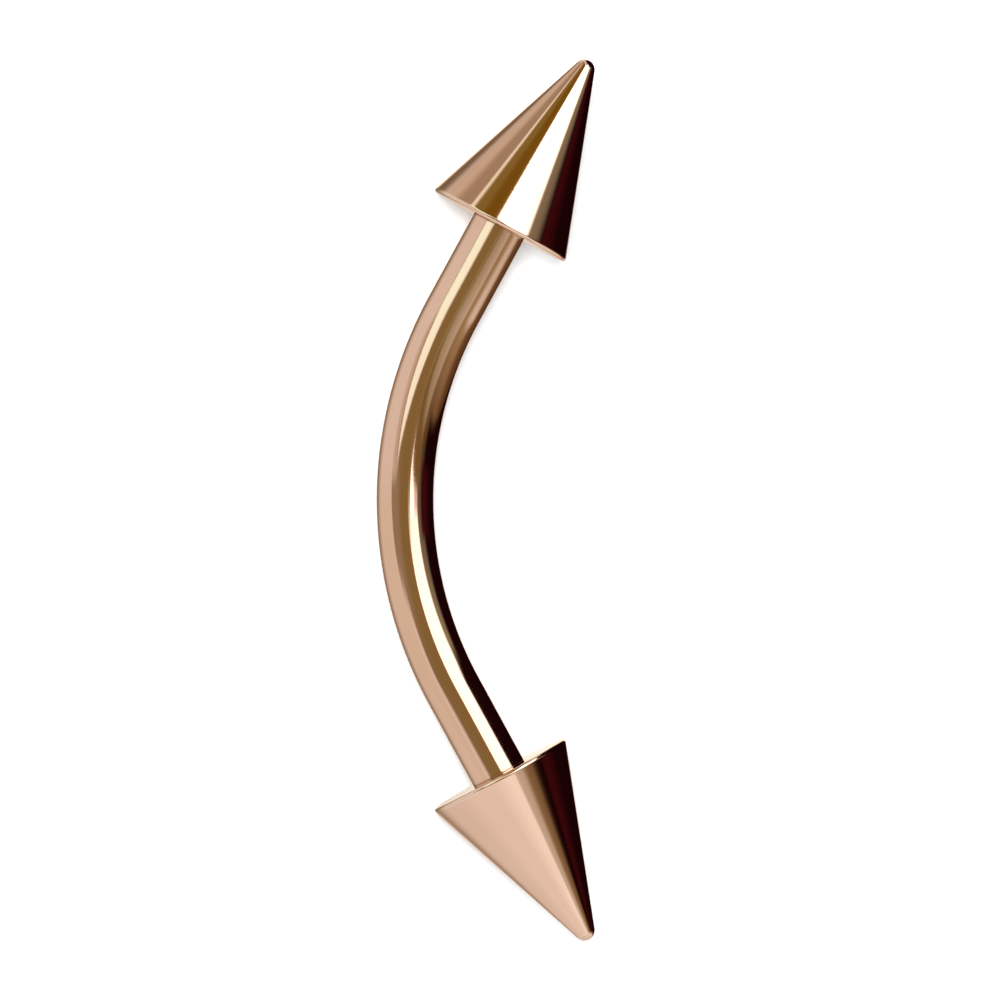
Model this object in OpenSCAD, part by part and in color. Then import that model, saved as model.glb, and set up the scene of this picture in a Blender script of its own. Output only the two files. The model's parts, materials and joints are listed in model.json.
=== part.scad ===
// Curved barbell for a body piercing: a bent round bar with a cone spike screwed on each end.
// It lies as it comes to rest: the outside of the bend and both spikes' rims touch the ground.
// Lengths are in millimetres. +Z is up, +Y runs along the barbell, and -X is the outside of the bend.

/* [Bar] */
// Diameter of the bar, 16 gauge wire
bar_d = 1.2; // [1:0.1:1.4]
// Radius of the bend, to the middle of the wire
bend_r = 8.4; // [7:0.1:10]
// Angle between the middle of the bar and each of its ends
bend_half = 28.6; // [20:0.2:32]
// Straight run between the bend and each spike
straight = 2; // [1.5:0.1:4]

/* [Threaded posts] */
// Length of each post inside its spike
post_len = 2; // [1:0.25:2]
// Pitch of the thread
pitch = 0.25; // [0.2:0.05:0.3]
// Depth of the thread
thread_depth = 0.15; // [0.08:0.01:0.18]

/* [Spikes] */
// Diameter of a spike at its flat face
spike_d = 3.2; // [3:0.1:5]
// Length of a spike from its flat face to its point
spike_len = 4; // [3.8:0.1:6]
// Radius of the rounded point
tip_r = 0.22; // [0.1:0.02:0.3]
// Width of the small bevel round the rim
rim_break = 0.1; // [0.02:0.01:0.15]
// Clearance between the post and its bore, on the radius
bore_gap = 0.02; // [0.01:0.01:0.05]
// Clearance between the post's end and the bottom of its bore
end_gap = 0.1; // [0.05:0.05:0.2]

/* [Hidden] */
$fn = 96;

rose_gold = "#d8a184";

// Ends of the bar, measured in its own flat plane: x across the bend, y along the barbell.
// The line between the spikes' faces is x = 0, and the middle of the bend is at x = -bow.
bow = bend_r * (1 - cos(bend_half)) + straight * sin(bend_half);
half_span = bend_r * sin(bend_half) + straight * cos(bend_half);

// Straight ends: ground two microns thinner than the bend, and each starts a little way inside it.
end_r = bar_d / 2 - 0.002;
end_overlap = 0.1;

// Thread: closed rings with flat crests, an eighth of the pitch wide on each side of the middle.
run_out = 0.15;
crest_r = bar_d / 2 - bore_gap / 2;
root_r = bar_d / 2 - thread_depth;
lead_in = 0.1;
ring_count = floor((post_len - run_out - lead_in) / pitch + 0.01);

// Spike: a cone that runs smoothly into the round point. Its bore ends in a shallow cone,
// as a drill leaves it.
tip_z = spike_len - tip_r;
side_angle = acos(tip_r / norm([spike_d / 2, tip_z])) - atan2(tip_z, spike_d / 2);
rim_r = spike_d / 2 - rim_break * tan(side_angle);
tip_steps = 8;
bore_r = bar_d / 2 + bore_gap;
bore_depth = post_len + end_gap;
drill_slope = 31;
drill_point = bore_r * tan(drill_slope);
mouth_break = 0.05;

// Resting tilt: the rims and the outside of the bend reach the same depth below the line
// between the spikes' faces, which gives a quadratic in the sine of the tilt.
rim_bow = bow + rim_break * sin(bend_half);
square_term = pow(rim_bow, 2) + pow(rim_r * sin(bend_half), 2);
linear_term = rim_bow * bar_d;
constant_term = pow(bar_d / 2, 2) - pow(rim_r, 2);
discriminant = pow(linear_term, 2) - 4 * square_term * constant_term;
tilt = asin((sqrt(discriminant) - linear_term) / (2 * square_term));
lift = bow * sin(tilt) + bar_d / 2;

// Reach of the barbell across the ground, which centres it on the origin.
bend_reach = bow * cos(tilt) + bar_d / 2;
point_reach = tip_z * sin(bend_half) * cos(tilt) + tip_r;
shift = (bend_reach - point_reach) / 2;

// Takes the flat plane of the bend to the way the barbell rests.
module rest() {
    translate([shift, 0, lift]) rotate([0, -tilt, 0]) children();
}

// Stands its children on the upper end of the bar, with +Z running out along the end.
module on_upper_end() {
    translate([0, half_span, 0]) rotate([0, 0, -bend_half]) rotate([-90, 0, 0]) children();
}

// The same for the lower end, which mirrors the upper one.
module on_lower_end() {
    mirror([0, 1, 0]) on_upper_end() children();
}

// Points of one thread ring, from root to crest and along the flat crest.
function ring_section(z) = [
    [root_r, z],
    [crest_r, z + 3 / 8 * pitch],
    [crest_r, z + 5 / 8 * pitch]
];

// Half section of a straight end and its threaded post. The spike's flat face is at z = 0.
function end_section() = concat(
    [
        [0, -straight - end_overlap],
        [end_r, -straight - end_overlap],
        [end_r, run_out - thread_depth]
    ],
    [for (ring = [0:ring_count - 1]) each ring_section(run_out + ring * pitch)],
    [
        [root_r, run_out + ring_count * pitch],
        [root_r, post_len - lead_in],
        [root_r - lead_in, post_len],
        [0, post_len]
    ]
);

module straight_end() {
    rotate_extrude() polygon(end_section());
}

module bend() {
    translate([bend_r - bow, 0, 0]) rotate([0, 0, 180 - bend_half])
        rotate_extrude(angle = 2 * bend_half) translate([bend_r, 0]) circle(d = bar_d);
}

module curved_bar() {
    color(rose_gold) rest() {
        bend();
        on_upper_end() straight_end();
        on_lower_end() straight_end();
    }
}

// Round point of a spike, from where the cone meets it almost to the axis.
function tip_section() = [
    for (step = [0:tip_steps - 1])
        let (angle = side_angle + (90 - side_angle) * step / tip_steps)
        [tip_r * cos(angle), tip_z + tip_r * sin(angle)]
];

// Half section of a spike with its blind bore.
function spike_section() = concat(
    [
        [0, bore_depth + drill_point],
        [bore_r, bore_depth],
        [bore_r, mouth_break],
        [bore_r + mouth_break, 0],
        [spike_d / 2 - rim_break, 0],
        [rim_r, rim_break]
    ],
    tip_section(),
    [[0, spike_len]]
);

module spike() {
    rotate_extrude() polygon(spike_section());
}

module upper_spike() {
    color(rose_gold) rest() on_upper_end() spike();
}

module lower_spike() {
    color(rose_gold) rest() on_lower_end() spike();
}

curved_bar();
upper_spike();
lower_spike();
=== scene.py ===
# %% [markdown]
# # A curved barbell in polished rose gold
#
# The object is a piece of body jewellery about 19 mm long: a bent round bar with a cone spike
# screwed on each end. It is steel, polished like a mirror and coated rose gold.
# A mirror shows nothing of its own. What the eye reads as metal is the room in it, so half of this
# lesson is about shapes and the other half is about the cards and lamps that stand round them.

# %% Load the frame
import json
import math

import bmesh
import bpy
from mathutils import Matrix, Vector


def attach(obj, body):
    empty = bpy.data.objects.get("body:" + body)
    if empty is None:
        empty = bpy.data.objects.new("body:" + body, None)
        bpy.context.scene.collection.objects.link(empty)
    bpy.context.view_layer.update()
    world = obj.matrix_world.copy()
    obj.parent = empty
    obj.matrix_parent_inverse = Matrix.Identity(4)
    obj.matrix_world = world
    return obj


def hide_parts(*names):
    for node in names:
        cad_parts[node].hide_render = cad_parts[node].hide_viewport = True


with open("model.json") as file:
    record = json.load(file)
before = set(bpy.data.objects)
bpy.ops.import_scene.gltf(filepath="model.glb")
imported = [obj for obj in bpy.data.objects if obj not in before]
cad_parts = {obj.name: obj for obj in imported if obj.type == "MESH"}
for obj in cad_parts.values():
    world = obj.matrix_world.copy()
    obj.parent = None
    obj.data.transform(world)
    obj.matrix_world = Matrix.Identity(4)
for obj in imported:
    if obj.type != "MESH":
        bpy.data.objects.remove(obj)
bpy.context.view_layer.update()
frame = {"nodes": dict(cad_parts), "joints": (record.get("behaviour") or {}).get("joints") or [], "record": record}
MM = 0.001

# %% [markdown]
# ## Where the pieces are
#
# The barbell lies tilted on the table, so its own directions are not the world's. Three are worth
# a name: along it, across it towards the points, and square to its flat side. They come from the
# frame, which holds the way each spike unscrews, so the shapes below never need a measured place.

# %% Name the barbell's own directions
way_off = {joint["child"]: Vector(joint["axis"]) for joint in frame["joints"]}
mounts = {mount["name"]: mount for mount in frame["record"]["mounts"]}

ALONG = (way_off["upper_spike"] - way_off["lower_spike"]).normalized()
ACROSS = (way_off["upper_spike"] + way_off["lower_spike"]).normalized()
FACING = ACROSS.cross(ALONG)
BEND_HALF = way_off["upper_spike"].angle(ALONG)
print("half of the bend:", round(math.degrees(BEND_HALF), 2), "degrees")

# %% [markdown]
# The point of a spike is the vertex that reaches farthest along its axis. From there it is one
# spike's length back to the middle of its flat face, and the two faces place everything else.

# %% Find the flat faces of the spikes
def farthest(node_name, direction):
    """The vertex of a CAD node that reaches farthest in a direction."""
    corners = frame["nodes"][node_name].data.vertices
    return max((corner.co.copy() for corner in corners), key=lambda place: place.dot(direction))


upper_point = farthest("upper_spike", way_off["upper_spike"])
lower_point = farthest("lower_spike", way_off["lower_spike"])
face_plane = Vector(mounts["upper_face"]["pos_m"])
SPIKE_LEN = (upper_point - face_plane).dot(way_off["upper_spike"])
UPPER_FACE = upper_point - SPIKE_LEN * way_off["upper_spike"]
LOWER_FACE = lower_point - SPIKE_LEN * way_off["lower_spike"]
CENTRE = (UPPER_FACE + LOWER_FACE) / 2
print("a spike is", round(SPIKE_LEN / MM, 3), "mm long")
print("wire ends are", round((UPPER_FACE - LOWER_FACE).length / MM, 3), "mm apart")

# %% [markdown]
# The wire is a circular arc with a straight run at each end. Its middle is a known distance from
# the line between the faces, and two equations then give the radius and the straight run.

# %% Work out the bend
BAR_R = mounts["piercing_bar"]["dims"]["r_mm"] * MM
half_span = (UPPER_FACE - LOWER_FACE).length / 2
bow = (CENTRE - Vector(mounts["piercing_bar"]["pos_m"])).dot(ACROSS)
slack = 1 - math.cos(BEND_HALF)
BEND_R = (half_span * math.sin(BEND_HALF) - bow * math.cos(BEND_HALF)) / slack
STRAIGHT = (bow * math.sin(BEND_HALF) - half_span * slack) / slack
BEND_LEN = BEND_R * BEND_HALF
WIRE_HALF = BEND_LEN + STRAIGHT
print("bend radius", round(BEND_R / MM, 3), "mm, straight run", round(STRAIGHT / MM, 3), "mm")

# %% [markdown]
# ## Skinning rings
#
# Every piece here is round, so one way of building serves all of them: rings of points, each
# joined to the next with a band of four-sided faces, and a fan of triangles to close an end.
# A lathe modifier would make the spikes, but not the screw threads inside them, whose rings are
# not round. In mesh code each ring can have any outline, and the mesh has no stray faces.
#
# Two facts are kept with each point for the finish: how worn its edge is, and whether it is
# threaded.

# %% Helper that skins rings
def skin(name, rings, first_end, last_end, facts):
    """A smooth mesh through the rings, closed by a fan to a point at each end.

    facts holds, for each ring, how worn it is and how threaded, each from 0 to 1.
    """
    mesh_in_work = bmesh.new()
    worn = mesh_in_work.verts.layers.float.new("worn")
    threaded = mesh_in_work.verts.layers.float.new("threaded")

    def point(place, fact):
        vertex = mesh_in_work.verts.new(place)
        vertex[worn], vertex[threaded] = fact
        return vertex

    loops = [[point(place, fact) for place in ring] for ring, fact in zip(rings, facts)]
    count = len(loops[0])
    for here, there in zip(loops, loops[1:]):
        for side in range(count):
            after = (side + 1) % count
            mesh_in_work.faces.new((here[side], here[after], there[after], there[side]))
    for end, loop, turn in ((first_end, loops[0], -1), (last_end, loops[-1], 1)):
        tip = point(end, facts[0 if turn < 0 else -1])
        for side in range(count):
            pair = (loop[side], loop[(side + 1) % count])
            mesh_in_work.faces.new((*pair[::turn], tip))
    bmesh.ops.recalc_face_normals(mesh_in_work, faces=mesh_in_work.faces)
    for face in mesh_in_work.faces:
        face.smooth = True
    mesh = bpy.data.meshes.new(name)
    mesh_in_work.to_mesh(mesh)
    mesh_in_work.free()
    piece = bpy.data.objects.new(name, mesh)
    bpy.context.scene.collection.objects.link(piece)
    print(name, "has", len(mesh.polygons), "faces")
    return piece


# %% [markdown]
# ## The screw thread
#
# Barbells of this gauge have a fine rolled thread: four turns to the millimetre, with rounded
# crests and roots. A thread is a ridge that climbs one pitch in each turn round the axis. So the
# height of the surface depends only on how far a point is from the ridge, counted in turns.
# A screw modifier could wind a profile up the post, but its ends would stay open and ragged.
# The same function serves the post and the bore, which makes them fit each other.

# %% Shape of the thread
PITCH = 0.25 * MM
CREST_SHARE = 0.25
RINGS_PER_TURN = 16


def ease(value):
    """Runs smoothly from 0 to 1 as value does, and stays there outside."""
    value = min(max(value, 0.0), 1.0)
    return value * value * (3 - 2 * value)


def ridge(depth_in, turn_angle):
    """Height of a right-handed thread from 0 at its root to 1 at its crest."""
    turns = depth_in / PITCH - turn_angle / math.tau
    from_crest = abs(turns % 1 - 0.5) * 2
    return ease((1 - from_crest) / (1 - CREST_SHARE))


print("a turn of the thread is", round(PITCH / MM, 3), "mm and", RINGS_PER_TURN, "rings")

# %% [markdown]
# ## The bar
#
# On the real object the bar is drawn wire, cut to length, threaded at both ends, bent round a
# former and then polished in a barrel. A curve object with a round bevel would do for the bend,
# but it has one thickness, and the posts do not. So the bar is skinned from rings that follow
# the wire, from the tip of one post to the tip of the other. Just before each sharp turn of the
# outline there is one more ring. Without it the slope of the shoulder would tilt the normals on
# the last stretch of the bar, and its reflections would bend there like a collar.

# %% Follow the wire
SIDES = 96


def on_wire(travel):
    """Place and direction on the wire's middle, at a distance from its own middle."""
    bent = max(-BEND_LEN, min(BEND_LEN, travel))
    turned = bent / BEND_R
    direction = math.sin(turned) * ACROSS + math.cos(turned) * ALONG
    sideways = BEND_R * (1 - math.cos(turned)) - bow
    place = CENTRE + sideways * ACROSS + BEND_R * math.sin(turned) * ALONG
    return place + (travel - bent) * direction, direction


def steps(start, stop, count):
    """Evenly spaced values from start to stop, both included."""
    return [start + (stop - start) * step / count for step in range(count + 1)]


print("the wire is", round(2 * WIRE_HALF / MM, 3), "mm long between the spikes")

# %% [markdown]
# ### The threaded posts
#
# A real post is the wire's own end with a thread rolled into it. It starts at a small shoulder,
# which slopes down to the first groove, and its tip tapers so that it finds the bore. Cutting a
# helix out of a cylinder with a boolean would leave slivers. Here one function gives the radius
# at any depth and angle, so the shoulder, the thread and the taper run into each other.

# %% Shape one threaded post
POST_LEN = 2 * MM
RUN_OUT = 0.15 * MM
CREST_GAP = 0.01 * MM
THREAD_DEPTH = 0.15 * MM
LEAD_IN = 0.1 * MM
BESIDE = 0.012 * MM
CREST_R = BAR_R - CREST_GAP
ROOT_R = BAR_R - THREAD_DEPTH
thread_slope = (CREST_R - ROOT_R) / ((1 - CREST_SHARE) / 2 * PITCH)


def post_radius(depth_in, turn_angle):
    """Radius of the bar's end, at a depth inside the spike."""
    if depth_in <= 0:
        return BAR_R
    shoulder = BAR_R - depth_in
    first_turn = ROOT_R + (depth_in - RUN_OUT) * thread_slope
    last_turn = ROOT_R + (POST_LEN - LEAD_IN - depth_in)
    thread = ROOT_R + (CREST_R - ROOT_R) * ridge(depth_in, turn_angle)
    return max(min(thread, max(first_turn, shoulder, ROOT_R), last_turn), shoulder)


print("post:", round(2 * CREST_R / MM, 3), "mm over the crests,",
      round(2 * ROOT_R / MM, 3), "mm at the roots")

# %% [markdown]
# ### The whole bar
#
# Each ring lies square to the wire, and on the posts it follows the thread. The rings of the
# bend can be far apart. Those of the posts are close, sixteen to a turn, or the thread would
# break into steps.

# %% Build the bar
BEND_RINGS = 60
STRAIGHT_RINGS = 10


def bar_stations():
    """Distances from the bar's middle at which it has a ring, from end to end."""
    post_rings = round(POST_LEN / PITCH * RINGS_PER_TURN)
    bend = steps(0, BEND_LEN, BEND_RINGS)
    straight = steps(BEND_LEN, WIRE_HALF - BESIDE, STRAIGHT_RINGS)[1:]
    post = steps(WIRE_HALF, WIRE_HALF + POST_LEN, post_rings)
    post.insert(-1, WIRE_HALF + POST_LEN - BESIDE / 3)
    half = bend + straight + post
    return [-travel for travel in half[:0:-1]] + half


def bar_ring(travel):
    """One ring of the bar. The angle is counted the right-handed way round the near post."""
    place, direction = on_wire(travel)
    outward = direction if travel >= 0 else -direction
    depth_in = abs(travel) - WIRE_HALF
    beside = outward.cross(FACING)
    ring = []
    for side in range(SIDES):
        angle = math.tau * side / SIDES * (1 if travel >= 0 else -1)
        radius = post_radius(depth_in, angle)
        ring.append(place + radius * (math.cos(angle) * FACING + math.sin(angle) * beside))
    return ring


stations = bar_stations()
bar = skin(
    "polished_bar",
    [bar_ring(travel) for travel in stations],
    on_wire(stations[0])[0],
    on_wire(stations[-1])[0],
    [(0.0, ease((abs(travel) - WIRE_HALF) / RUN_OUT)) for travel in stations],
)
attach(bar, "bar")
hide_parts("curved_bar")

# %% [markdown]
# ## The spikes
#
# Each spike is turned from round stock on a lathe: the cone, its flat face and a rim whose edge
# is broken so that it doesn't scratch. Then it is drilled, and the bore is tapped.
# The half section below is drawn as the lathe cuts it, from the point down the cone, round the
# rim, over the flat face and up the bore to where the drill stopped.
#
# A mirror shows every fault in its normals. So the rings crowd together towards the point, where
# the cone narrows fast, and there is a ring just beside each rounded edge, which keeps the
# edge's curve from bending the reflections on the flat face and on the cone.
#
# No dark ring shows round the wire in the photograph. So the mouth of the bore closes on the
# wire to three thousandths of a millimetre, as it does when a spike is screwed tight.

# %% Measure the cone in the frame
def rim_corner():
    """Radius of the spike's widest ring, and its height over the flat face."""
    axis = way_off["upper_spike"]
    widest = (0.0, 0.0)
    for corner in frame["nodes"]["upper_spike"].data.vertices:
        out = corner.co - UPPER_FACE
        height = out.dot(axis)
        widest = max(widest, ((out - height * axis).length, height))
    return widest


rim_r, rim_height = rim_corner()
TIP_R = 0.22 * MM
tip_height = SPIKE_LEN - TIP_R
corner_to_tip = math.hypot(rim_r, tip_height - rim_height)
CONE_HALF = math.atan2(rim_r, tip_height - rim_height) - math.asin(TIP_R / corner_to_tip)
SPIKE_R = rim_r + rim_height * math.tan(CONE_HALF)
print("the cone opens", round(2 * math.degrees(CONE_HALF), 2), "degrees and is",
      round(2 * SPIKE_R / MM, 3), "mm across")

# %% [markdown]
# ### The half section
#
# The part's solid has a small bevel round the rim. On the real spike the polishing wheel rounds
# it, so here it is an arc of the same reach, which runs into the cone and the flat face without
# a corner. That arc draws the thin bright line round the spike.

# %% Draw the half section of a spike
RIM_BREAK = 0.1 * MM
MOUTH_BREAK = 0.004 * MM
MOUTH_GAP = 0.003 * MM
BORE_R = BAR_R + MOUTH_GAP
BORE_DEPTH = 2.1 * MM
DRILL_HALF = math.radians(59)
CONE_RINGS = 40
FLAT_RINGS = 12


def arc(centre, radius, first, last, count):
    """Points (radius, height) on an arc of the half section. Angles in degrees from outward."""
    return [
        (centre[0] + radius * math.cos(math.radians(turn)),
         centre[1] + radius * math.sin(math.radians(turn)))
        for turn in steps(first, last, count)
    ]


def outer_section():
    """From the point down the cone and over the flat face, to the mouth of the bore."""
    cone = math.degrees(CONE_HALF)
    point = arc((0, tip_height), TIP_R, 90, cone, 14)[1:]
    rim_round = RIM_BREAK * math.tan((math.pi / 2 - CONE_HALF) / 2)
    rim = arc((SPIKE_R - RIM_BREAK, rim_round), rim_round, cone, -90, 10)
    top_r, top_height = point[-1]
    low_r, low_height = rim[0]
    side = []
    for share in steps(0, 1, CONE_RINGS)[1:-1]:
        radius = top_r * (low_r / top_r) ** share
        climb = (low_r - radius) / (low_r - top_r)
        side.append((radius, low_height + climb * (top_height - low_height)))
    near_rim = [(low_r - BESIDE * math.sin(CONE_HALF), low_height + BESIDE * math.cos(CONE_HALF))]
    mouth_r = BORE_R + MOUTH_BREAK
    flat_r = SPIKE_R - RIM_BREAK
    flat = [(radius, 0.0) for radius in steps(flat_r - BESIDE, mouth_r + BESIDE, FLAT_RINGS)]
    mouth = arc((mouth_r, MOUTH_BREAK), MOUTH_BREAK, 270, 180, 5)
    return point, side + near_rim, rim, flat, mouth


point, side, rim, flat, mouth = outer_section()
print("half section:", [len(part) for part in (point, side, rim, flat, mouth)], "rings")

# %% [markdown]
# ### The tapped bore
#
# A tap cuts the post's thread into the wall of the bore. The grooves fade out at both ends, as
# the tapered teeth of a tap leave them. Both spikes are one shape, set on the two ends of the
# bar. They are two meshes, because each rides on its own body and comes off by itself.

# %% Build both spikes
GROOVE = 0.09 * MM
TAP_START = 0.12 * MM
TAP_END = BORE_DEPTH - 0.1 * MM
SPIKE_SIDES = 144


def bore_radius(depth_in, turn_angle):
    """Radius of the tapped bore, whose grooves fade out at both ends."""
    fade = ease((depth_in - TAP_START) / PITCH) * ease((TAP_END - depth_in) / PITCH)
    return BORE_R + GROOVE * ridge(depth_in, turn_angle) * fade


def spike(name):
    """A spike, skinned from the half section, on its own end of the bar."""
    axis = way_off[name]
    face = UPPER_FACE if name == "upper_spike" else LOWER_FACE
    beside = axis.cross(FACING)
    angles = [math.tau * turn / SPIKE_SIDES for turn in range(SPIKE_SIDES)]
    rounds = [math.cos(angle) * FACING + math.sin(angle) * beside for angle in angles]
    rings, facts = [], []
    for part, worn in ((point, 0.6), (side, 0.0), (rim, 1.0), (flat, 0.0), (mouth, 0.5)):
        for radius, height in part:
            rings.append([face + height * axis + radius * way for way in rounds])
            facts.append((worn, 0.0))
    tap_rings = round((BORE_DEPTH - MOUTH_BREAK) / PITCH * RINGS_PER_TURN)
    for height in steps(MOUTH_BREAK, BORE_DEPTH, tap_rings)[1:]:
        rings.append([
            face + height * axis + bore_radius(height, angle) * way
            for angle, way in zip(angles, rounds)
        ])
        facts.append((0.0, 1.0))
    bottom = BORE_DEPTH + BORE_R / math.tan(DRILL_HALF)
    return skin(
        "polished_" + name, rings, face + SPIKE_LEN * axis, face + bottom * axis, facts
    )


spikes = {}
for name in ("upper_spike", "lower_spike"):
    spikes[name] = spike(name)
    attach(spikes[name], name)
    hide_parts(name)

# %% [markdown]
# ## Colours and nodes
#
# Colours are written as a picture editor shows them, in sRGB. Blender's shaders reckon with the
# real amount of light, so one function turns the hex values to linear ones.

# %% Helpers for colours and nodes
def linear(hex_colour):
    """Linear red, green and blue, with full alpha, from an sRGB hex colour."""
    channels = [int(hex_colour[start:start + 2], 16) / 255 for start in (1, 3, 5)]
    made = [c / 12.92 if c <= 0.04045 else ((c + 0.055) / 1.055) ** 2.4 for c in channels]
    return (*made, 1.0)


def add_node(tree, kind, sockets=None, **settings):
    """Adds a node. Sockets holds values, or other nodes' outputs to link to."""
    made = tree.nodes.new(kind)
    for name, value in settings.items():
        setattr(made, name, value)
    for socket, value in (sockets or {}).items():
        if isinstance(value, bpy.types.NodeSocket):
            tree.links.new(value, made.inputs[socket])
        else:
            made.inputs[socket].default_value = value
    return made


def blank_material(name):
    """A material whose node tree is empty, and that tree."""
    material = bpy.data.materials.new(name)
    material.use_nodes = True
    material.node_tree.nodes.clear()
    return material, material.node_tree


print("mid grey is", round(linear("#808080")[0], 3), "of white in linear light")

# %% [markdown]
# ## Rose gold over surgical steel
#
# The metal is 316L steel, barrel polished until it is a mirror. The colour is a coating about a
# thousandth of a millimetre thick, grown on it in a vacuum (physical vapour deposition, PVD).
# It follows the polish exactly, so it adds a colour and takes no gloss away.
#
# So the shader is a pure metal with a low roughness. Three things keep it from looking like a
# drawing: the coating's tone drifts a little from place to place, the polish leaves hair-fine
# marks, and the coating is paler on worn edges, where the steel starts to show through. Real
# marks of a barrel polish are about a thousandth of a millimetre wide. They are drawn at 0.07 mm,
# as coarse as they need to be to show.

# %% Polished rose gold
ROSE_GOLD = "#D8B49D"
ROSE_GOLD_DEEP = "#D5B099"
WORN_EDGE = "#DFC4AF"
EDGE_TINT = "#E3D6CC"
DRIFT_SIZE = 2.5
WEAR_SIZE = 1 / 3
MARK_SPACING = 0.07
THREAD_ROUGHER = 0.12


def polished_rose_gold(name):
    """PVD rose gold on mirror-polished steel."""
    material, tree = blank_material(name)
    place = add_node(tree, "ShaderNodeTexCoord").outputs["Object"]
    per_mm = add_node(
        tree, "ShaderNodeVectorMath", {0: place, 1: (1000, 1000, 1000)}, operation="MULTIPLY"
    ).outputs[0]
    drift = add_node(
        tree, "ShaderNodeTexNoise", {"Vector": per_mm, "Scale": 1 / DRIFT_SIZE, "Detail": 2.0}
    ).outputs["Fac"]
    coating = add_node(tree, "ShaderNodeValToRGB", {"Fac": drift})
    coating.color_ramp.elements[0].position = 0.35
    coating.color_ramp.elements[0].color = linear(ROSE_GOLD_DEEP)
    coating.color_ramp.elements[1].position = 0.65
    coating.color_ramp.elements[1].color = linear(ROSE_GOLD)

    worn = add_node(tree, "ShaderNodeAttribute", attribute_name="worn").outputs["Fac"]
    threaded = add_node(tree, "ShaderNodeAttribute", attribute_name="threaded").outputs["Fac"]
    wear_patches = add_node(
        tree, "ShaderNodeTexNoise", {"Vector": per_mm, "Scale": 1 / WEAR_SIZE, "Detail": 3.0}
    ).outputs["Fac"]
    wear = add_node(
        tree, "ShaderNodeMath", {0: worn, 1: wear_patches}, operation="MULTIPLY"
    ).outputs[0]
    tone = add_node(
        tree, "ShaderNodeMix", {"Factor": wear, "A": coating.outputs["Color"]}, data_type="RGBA"
    )
    tone.inputs["B"].default_value = linear(WORN_EDGE)

    fine = add_node(
        tree, "ShaderNodeTexNoise",
        {"Vector": per_mm, "Scale": 1 / MARK_SPACING, "Detail": 3.0, "Roughness": 0.6},
    ).outputs["Fac"]
    gloss = add_node(
        tree, "ShaderNodeMapRange",
        {"Value": fine, "From Min": 0.3, "From Max": 0.7, "To Min": 0.045, "To Max": 0.07},
    ).outputs["Result"]
    rough = add_node(
        tree, "ShaderNodeMath", {0: threaded, 1: THREAD_ROUGHER, 2: gloss}, operation="MULTIPLY_ADD"
    ).outputs[0]
    polish = add_node(
        tree, "ShaderNodeBump", {"Height": fine, "Strength": 0.01, "Distance": 0.00002}
    ).outputs["Normal"]
    metal = add_node(
        tree, "ShaderNodeBsdfPrincipled",
        {"Base Color": tone.outputs["Result"], "Metallic": 1.0, "Roughness": rough,
         "Specular Tint": linear(EDGE_TINT), "Normal": polish},
    )
    add_node(tree, "ShaderNodeOutputMaterial", {"Surface": metal.outputs["BSDF"]})
    return material


bar.data.materials.append(polished_rose_gold("rose_gold_drawn_wire"))
spike_finish = polished_rose_gold("rose_gold_turned_spike")
for piece in spikes.values():
    piece.data.materials.append(spike_finish)
print("materials:", [material.name for material in bpy.data.materials])

# %% [markdown]
# ## The table and its light
#
# The picture has a white ground with next to no shadow: a sheet of white acrylic in a light tent.
# The table is one pale disc, lit by the world all round and by one soft lamp, which together make
# it a little brighter than white. The lamp hangs behind the camera and just above it, so the
# shadow that it throws lies behind the barbell, where the lens can't see it. What is left is a
# faint shade close to the metal.

# %% White table
TABLE_R = 2.0


def white_table():
    """A pale disc at the height that the barbell lies on."""
    disc = bmesh.new()
    bmesh.ops.create_circle(disc, cap_ends=True, segments=96, radius=TABLE_R)
    mesh = bpy.data.meshes.new("table")
    disc.to_mesh(mesh)
    disc.free()
    table = bpy.data.objects.new("table", mesh)
    bpy.context.scene.collection.objects.link(table)
    material, tree = blank_material("matt_white_acrylic")
    sheet = add_node(tree, "ShaderNodeBsdfDiffuse", {"Color": linear("#DADADA"), "Roughness": 0.5})
    add_node(tree, "ShaderNodeOutputMaterial", {"Surface": sheet.outputs["BSDF"]})
    mesh.materials.append(material)
    # The metal doesn't see this table. Cards further down stand in for it in the reflections.
    table.visible_glossy = False
    return table


white_table()
print("the table is", 2 * TABLE_R, "m across")

# %% [markdown]
# ### The light
#
# A real light tent is white cloth lit from outside, and an even white world does its work. A
# picture of a studio could be the world instead, but plain light and cards can be changed one at
# a time. The lamp is hidden from the metal, which would show it as a hard white square.

# %% Light tent and the lamp over the camera
world = bpy.data.worlds.new("light_tent")
world.use_nodes = True
world.node_tree.nodes["Background"].inputs["Color"].default_value = linear("#FFFFFF")
world.node_tree.nodes["Background"].inputs["Strength"].default_value = 1.0
bpy.context.scene.world = world

LAMP_DISTANCE = 0.8
lamp_data = bpy.data.lights.new("lamp_over_camera", "AREA")
lamp_data.shape = "SQUARE"
lamp_data.size = 0.2
lamp_data.energy = 9.5
lamp = bpy.data.objects.new("lamp_over_camera", lamp_data)
to_lamp = (FACING - 0.07 * ACROSS + 0.1 * ALONG).normalized()
lamp.location = CENTRE + LAMP_DISTANCE * to_lamp
lamp.rotation_euler = (-to_lamp).to_track_quat("-Z", "Y").to_euler()
lamp.visible_glossy = False
bpy.context.scene.collection.objects.link(lamp)
print("the lamp hangs", LAMP_DISTANCE, "m from the barbell")

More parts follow.
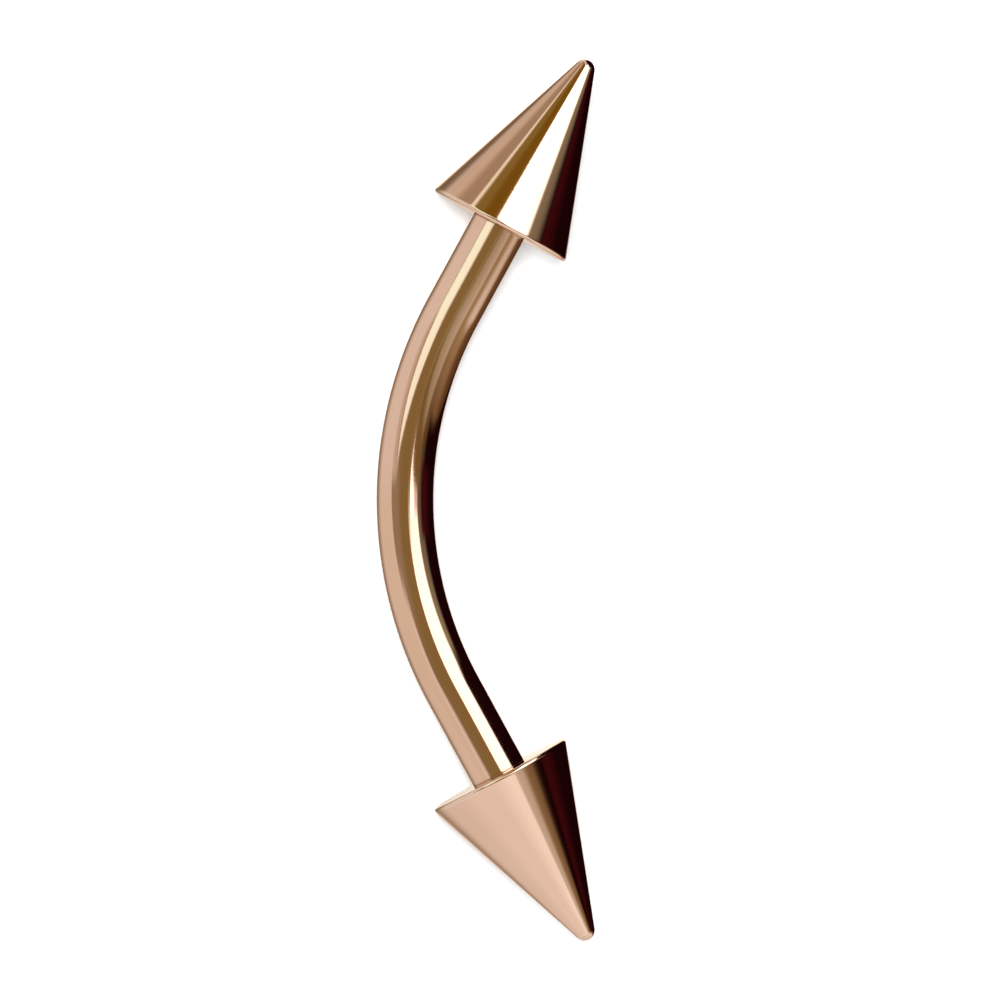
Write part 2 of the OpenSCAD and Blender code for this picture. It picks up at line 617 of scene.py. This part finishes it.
# %% [markdown]
# ## Cards to reflect
#
# A lens sees only the front of the barbell, but its metal sees the whole tent. A card that
# stands there shows up as a band along the bar and as a wedge on each cone. Each card here is a
# piece of a big sphere round the object, so its place is two angles: how far it is turned from
# the side that faces the lens, and how far it rises along the barbell. Its edges fade, because
# a card that is close to the metal is never sharp in it. The camera doesn't see the cards, they
# cast no shadow and they don't light the table.
#
# The lens stands a little up along the barbell, and a mirror sends its look as far down again. So
# the tent's straight ahead lies as far below the barbell's own as the lens is above it, and the
# whole tent is turned a little back from the points.

# %% Directions in the tent
LENS_RAISED = math.radians(0.6)
TENT_TURN = -1.6
ahead = math.cos(LENS_RAISED) * FACING - math.sin(LENS_RAISED) * ALONG
upward = math.cos(LENS_RAISED) * ALONG + math.sin(LENS_RAISED) * FACING


def towards(turn, rise):
    """Direction from the barbell. Turn is from straight ahead towards the points, in degrees."""
    turn, rise = math.radians(turn + TENT_TURN), math.radians(rise)
    level = math.sin(turn) * ACROSS + math.cos(turn) * ahead
    return math.cos(rise) * level + math.sin(rise) * upward


print("the tent is turned", -TENT_TURN, "degrees back from the points")

# %% [markdown]
# A card is a sheet that glows. It shades from one colour at its low edge to another at its high
# edge, and it turns see-through where it fades. An area lamp would show in the metal too, but it
# has one colour and hard edges.

# %% Light of a card
def glow(name, low, high, strength):
    """Light of one colour at the card's low edge and of another at its high edge."""
    material, tree = blank_material(name)
    climb = add_node(tree, "ShaderNodeAttribute", attribute_name="climb").outputs["Fac"]
    colour = add_node(tree, "ShaderNodeMix", {"Factor": climb}, data_type="RGBA")
    colour.inputs["A"].default_value = linear(low)
    colour.inputs["B"].default_value = linear(high)
    light = add_node(
        tree, "ShaderNodeEmission", {"Color": colour.outputs["Result"], "Strength": strength}
    )
    clear = add_node(tree, "ShaderNodeBsdfTransparent")
    solid = add_node(tree, "ShaderNodeAttribute", attribute_name="solid").outputs["Fac"]
    both = add_node(
        tree, "ShaderNodeMixShader", {0: solid, 1: clear.outputs[0], 2: light.outputs[0]}
    )
    add_node(tree, "ShaderNodeOutputMaterial", {"Surface": both.outputs[0]})
    return material


# %% [markdown]
# The sheet is a grid of points between four corners on the sphere. Two facts go with each point:
# how solid it is, and how high up the card it lies. Cards that cross hang at different
# distances, so it is always clear which one covers the other.

# %% Helper that hangs a card
CARD_DISTANCE = 0.4
CARD_GAP = 0.01
CARD_STEPS = 32


def card(name, corners, feather, nearer=0, low="#FFFFFF", high=None, strength=1.0):
    """A card between four corners of (turn, rise): low left, low right, high right, high left.

    feather is how many degrees its left, right, low and high edges take to fade in, and nearer
    is how many gaps it hangs in front of the others.
    """
    low_left, low_right, high_right, high_left = corners
    distance = CARD_DISTANCE - nearer * CARD_GAP
    height = (high_left[1] - low_left[1] + high_right[1] - low_right[1]) / 2
    sheet = bmesh.new()
    solid = sheet.verts.layers.float.new("solid")
    climb = sheet.verts.layers.float.new("climb")
    rows = []
    for up in steps(0, 1, CARD_STEPS):
        row = []
        left = [a + (b - a) * up for a, b in zip(low_left, high_left)]
        right = [a + (b - a) * up for a, b in zip(low_right, high_right)]
        width = right[0] - left[0]
        for over in steps(0, 1, CARD_STEPS):
            turn, rise = [a + (b - a) * over for a, b in zip(left, right)]
            vertex = sheet.verts.new(CENTRE + distance * towards(turn, rise))
            gaps = (over * width, (1 - over) * width, up * height, (1 - up) * height)
            vertex[solid] = math.prod(
                ease(gap / fade) if fade else 1.0 for gap, fade in zip(gaps, feather)
            )
            vertex[climb] = up
            row.append(vertex)
        rows.append(row)
    for low_row, high_row in zip(rows, rows[1:]):
        for spot in range(CARD_STEPS):
            sheet.faces.new((low_row[spot], low_row[spot + 1], high_row[spot + 1], high_row[spot]))
    for face in sheet.faces:
        face.smooth = True
    mesh = bpy.data.meshes.new(name)
    sheet.to_mesh(mesh)
    sheet.free()
    mesh.materials.append(glow(name, low, high or low, strength))
    made = bpy.data.objects.new(name, mesh)
    bpy.context.scene.collection.objects.link(made)
    made.visible_camera = made.visible_diffuse = made.visible_shadow = False
    print("hung", name)


# %% [markdown]
# ### A brown wall with a strip of light
#
# Left of the lens, on the outer side of the bend, stands a brown wall. It turns to mauve where
# it runs out to the side, and a long strip of cream light leans across it with a dim border. On
# the upper half of the bar they make the brown band and the pale line along it, and on the upper
# cone the olive wedge with its thin bright edge.

# %% Hang the brown wall
card("brown_wall", ((-41, -24), (24, -24), (13, 74), (-37, 74)), (8, 1, 6, 3),
     low="#9C895F", high="#9B863F")
card("brown_shade", ((-18, 38), (14, 38), (13, 66), (-18, 66)), (16, 1, 8, 3), nearer=0.5,
     low="#8A6A1E")
card("mauve_side", ((-50, -15), (-14, -15), (-14, 5), (-62, 5)), (4, 22, 9, 4), nearer=0.5,
     low="#AA9B80", high="#AFA28B")
card("cream_strip", ((-40, 3), (-12, 8), (-28, 32), (-58, 32)), (4, 6, 2, 0), nearer=1,
     low="#DFEBE9", high="#DCFFF3", strength=1.95)
card("cream_strip_end", ((-58, 32), (-28, 32), (-38, 68), (-43, 68)), (3, 2, 0, 2), nearer=1,
     low="#F2FFF2", strength=1.36)
card("shade_strip", ((-62, 1), (-39, 1), (-46, 26), (-70, 26)), (12, 1, 4, 5), nearer=2,
     low="#E2D8CA")
card("shade_line", ((-42.5, 2), (-39.5, 2), (-55, 32), (-58, 32)), (1.5, 1, 3, 3), nearer=2.5,
     low="#A8957C")

# %% [markdown]
# ### The softbox and the black flag
#
# Right of the lens hangs a white softbox, and it is the brightest thing in the metal: the white
# stripe down the lower half of the bar and the wide white wedge on the upper cone. A black flag
# closes the tent beside it. Black next to white is what makes polished metal look hard and
# heavy. A photographer hangs such a flag on purpose, to draw the edge of a shiny object on a
# white ground. It is deep maroon rather than black, and a little redder where it meets the box.

# %% Hang the softbox and the flag
card("brown_corner", ((46, -14), (110, -14), (110, 48), (56, 48)), (4, 4, 4, 4),
     low="#2A1A10", high="#DCD8BC")
card("white_softbox", ((11, -0.2), (52, 0.4), (94, 48), (15, 50)), (1.5, 8, 1.2, 3), nearer=1,
     low="#DCDCDC", high="#FFFFFF", strength=3.6)
card("softbox_foot", ((17, -3), (40, -1), (40, 1), (17, 1)), (5, 8, 1.4, 0), nearer=3.5,
     strength=3.0)
card("dark_edge", ((12, -8.5), (61, -9.5), (61, -0.8), (12, -1.6)), (10, 6, 4, 0.6), nearer=3,
     low="#806838", high="#8E7648")
card("black_flag", ((60, -12.5), (168, -12.5), (168, 34), (86, 34)), (15, 6, 2, 5), nearer=2,
     low="#20050B")
card("black_flag_top", ((54, 19.3), (168, 19.3), (168, 75), (60, 75)), (8, 6, 3, 4), nearer=2.2,
     low="#20050B")
card("maroon_glow", ((59, -7), (118, -5.5), (118, 5.5), (61, 5.5)), (12, 34, 2.5, 2), nearer=2.8,
     low="#451018")

# %% [markdown]
# ### Two small lines for the edges
#
# The rounded rim and the rounded point are tiny, and each shows the whole tent again, squeezed
# into a hair's breadth. One dark line and one cream patch are enough to draw them.

# %% Hang the edge lines
card("edge_line_high", ((-30, 34), (10, 28), (10, 38), (-30, 50)), (6, 2, 2, 3), nearer=4,
     low="#3A2A1A")
card("rim_cream", ((-40, 25), (8, 9), (8, 28), (-34, 38)), (3, 1, 2, 2), nearer=3,
     low="#F4FFF0", strength=1.7)

# %% [markdown]
# ### Low cards
#
# Under the softbox are grey and olive cards. The upper half of the bar looks down at them, and
# they end the white stripe at the middle of the bend. Lower still everything is bright, and the
# lower cone, which faces that way, is a plain clear rose gold with one soft highlight.

# %% Hang the low cards
card("grey_card", ((14, -29), (57, -29), (57, -4), (10, -2)), (3, 10, 5, 1), nearer=1,
     low="#F0ECE4", high="#A89D70")
card("olive_card", ((44, -28), (150, -28), (150, -6), (44, -6)), (14, 5, 4, 3), nearer=0.5,
     low="#C4B088", high="#664829")
card("olive_card_end", ((84, -28), (160, -28), (160, -6), (84, -6)), (34, 5, 4, 3), nearer=1.5,
     low="#84694A", high="#5E3A20")
card("front_fill", ((-110, -76), (28, -76), (28, -32), (-110, -32)), (90, 10, 0, 8),
     strength=1.12)
card("front_fill_heart", ((4, -60), (44, -38), (43, -23), (6, -32)), (30, 3, 6, 4), nearer=1.5,
     low="#E4E8EA", strength=1.7)

# %% [markdown]
# ### The far sides of the tent
#
# The outlines and the flat faces look sideways and back, at the tent wall and towards the table
# behind the barbell. The wall is a warm grey. The metal doesn't see the table itself, so cards
# stand in for it: the own_shadow card is painted shade, a dim sheet in place of the shade on the
# table behind the barbell, and it draws a thin darker line down the left outlines. The upper flat
# face shows a painted peach reflection of the table, and the lower one a painted bright cream one.

# %% Hang the far cards
card("warm_grey_wall", ((-140, 42), (-30, 42), (-30, 78), (-140, 78)), (14, 3, 8, 0), nearer=-1,
     low="#EDE5D7")
card("brown_side", ((-114, 50), (-46, 48), (-46, 75), (-114, 75)), (36, 2, 6, 3), nearer=-0.5,
     low="#C0B19C")
card("warm_side", ((-130, -34), (-46, -34), (-46, 2), (-130, 2)), (30, 4, 6, 4), nearer=-1,
     low="#F8F4E8", high="#FDFAF2")
# Painted shade: a dim sheet in place of the table's shade behind the barbell, seen only in the metal.
card("own_shadow", ((-205, -50), (-112, -50), (-112, 54), (-205, 54)), (14, 42, 30, 20),
     low="#C9C5BA", high="#7E7156")
card("far_card_high", ((-140, 72), (60, 72), (60, 88), (-140, 88)), (20, 20, 5, 2),
     low="#93806F")
card("far_card_low", ((-140, -88), (60, -88), (60, -72), (-140, -72)), (20, 20, 2, 5),
     low="#DCCFC4")
# Painted reflections of the lit table: bright cream for the lower flat face, peach for the upper one.
card("bright_table_reflection", ((160, 0.5), (200, 0.5), (200, 45), (160, 45)), (8, 8, 1, 8), nearer=1,
     low="#FFF6EA", strength=1.95)
card("peach_table_reflection", ((160, -45), (200, -45), (200, -0.5), (160, -0.5)), (8, 8, 8, 1), nearer=1,
     low="#F8E2D0")

# %% [markdown]
# ## The camera
#
# The photograph looks almost square onto the flat side of the barbell. The flat faces of the
# spikes tell the rest. Both show as slivers, so the lens is turned a few degrees towards the
# outside of the bend. Neither opens wide, so it is a long lens at arm's length. And the lower one
# opens wider than the upper one, so the lens stands a little up along the barbell.

# %% Camera at the photograph's angle
CAMERA_DISTANCE = 400 * MM
VIEW_WIDTH = 21.1355 * MM
SENSOR_WIDTH = 36
LENS_TURNED = math.radians(2.2)
AIM_ASIDE = 0.025 * MM
aim = CENTRE + AIM_ASIDE * ACROSS

camera_data = bpy.data.cameras.new("camera")
camera_data.lens = SENSOR_WIDTH * CAMERA_DISTANCE / VIEW_WIDTH
camera_data.sensor_width = SENSOR_WIDTH
camera_data.clip_start = 0.01
camera = bpy.data.objects.new("camera", camera_data)
back = math.cos(LENS_TURNED) * FACING - math.sin(LENS_TURNED) * ACROSS
back = math.cos(LENS_RAISED) * back + math.sin(LENS_RAISED) * ALONG
right = ALONG.cross(back).normalized()
camera.matrix_world = Matrix.Translation(aim + CAMERA_DISTANCE * back) @ Matrix(
    (right, back.cross(right), back)
).transposed().to_4x4()
bpy.context.scene.collection.objects.link(camera)
bpy.context.scene.camera = camera
bpy.context.scene.view_settings.view_transform = "Standard"
print("lens:", round(camera_data.lens), "mm, at", round(CAMERA_DISTANCE / MM), "mm")
